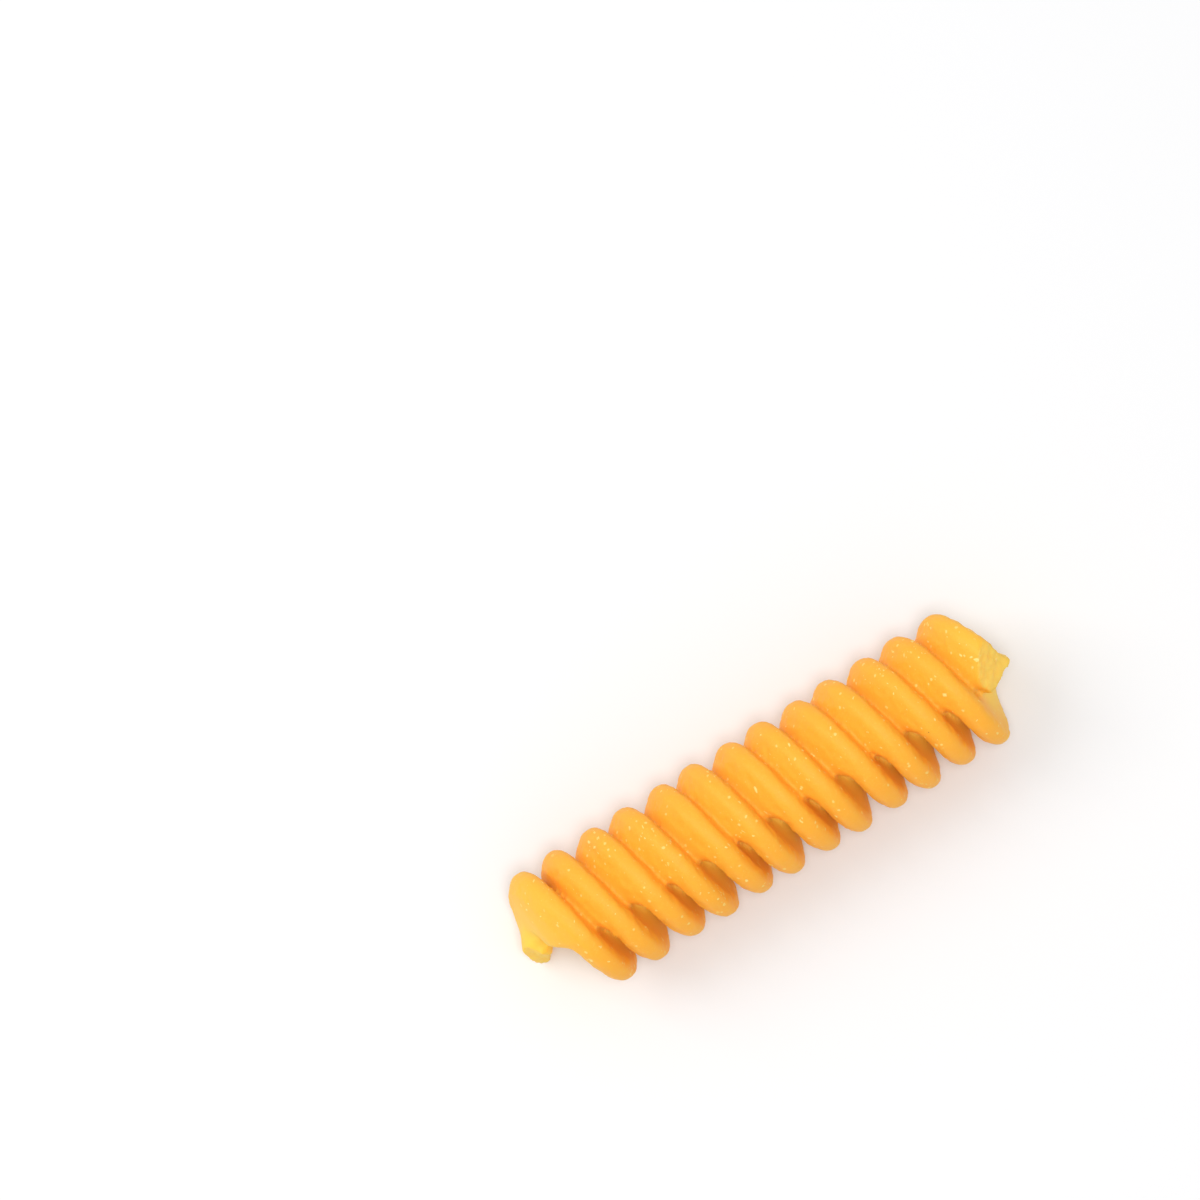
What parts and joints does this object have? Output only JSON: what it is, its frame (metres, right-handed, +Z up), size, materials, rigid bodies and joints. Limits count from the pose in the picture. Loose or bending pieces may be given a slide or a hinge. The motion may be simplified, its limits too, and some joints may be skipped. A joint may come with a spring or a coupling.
{
  "type": "dry fusillo pasta piece",
  "caption": "Short straight spiral of dry golden pasta: thick rounded fins wind round a thin core, with cut ends.",
  "frame": {"origin": "middle of the underside, on the surface the piece lies on", "axes": "+X along the axis of the spiral, towards the end with the slanted torn face; +Z up"},
  "size_m": [0.0378, 0.0098, 0.0097],
  "materials": {
    "dry_pasta": "matt, slightly translucent golden durum dough"
  },
  "bodies": {
    "root": {"fusillo": "dry_pasta"}
  },
  "joints": []
}
